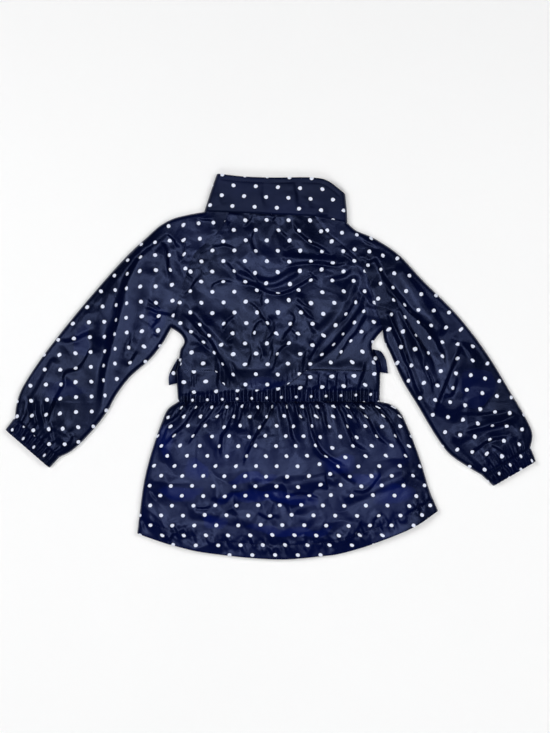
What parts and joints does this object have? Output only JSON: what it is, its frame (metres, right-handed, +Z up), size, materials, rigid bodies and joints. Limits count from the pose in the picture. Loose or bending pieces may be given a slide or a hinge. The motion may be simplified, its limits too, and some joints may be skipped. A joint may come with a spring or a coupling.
{
  "type": "toddler raincoat laid flat",
  "caption": "Toddler's dotted raincoat lying flat, back up: raglan sleeves with gathered cuffs, stand collar, elastic waist and flared peplum skirt.",
  "frame": {"origin": "on the surface that the coat lies on, under the middle of its outline", "axes": "+Z up, out of the coat's back; +Y towards the collar; +X to the right as one looks down on the back with the collar away"},
  "size_m": [0.715, 0.519, 0.0142],
  "materials": {
    "shell": "semi-gloss coated woven, white dots",
    "collar": "semi-gloss coated woven, white dots, stiffened",
    "placket": "semi-gloss coated woven, white dots"
  },
  "bodies": {
    "root": {"back": "shell", "front_left": "shell", "front_right": "shell", "placket": "placket", "collar": "collar", "sleeve_left": "shell", "sleeve_right": "shell", "cuff_left": "shell", "cuff_right": "shell", "waistband": "shell", "skirt_back": "shell", "skirt_front_left": "shell", "skirt_front_right": "shell", "flap_left": "shell", "flap_right": "shell"}
  },
  "joints": []
}
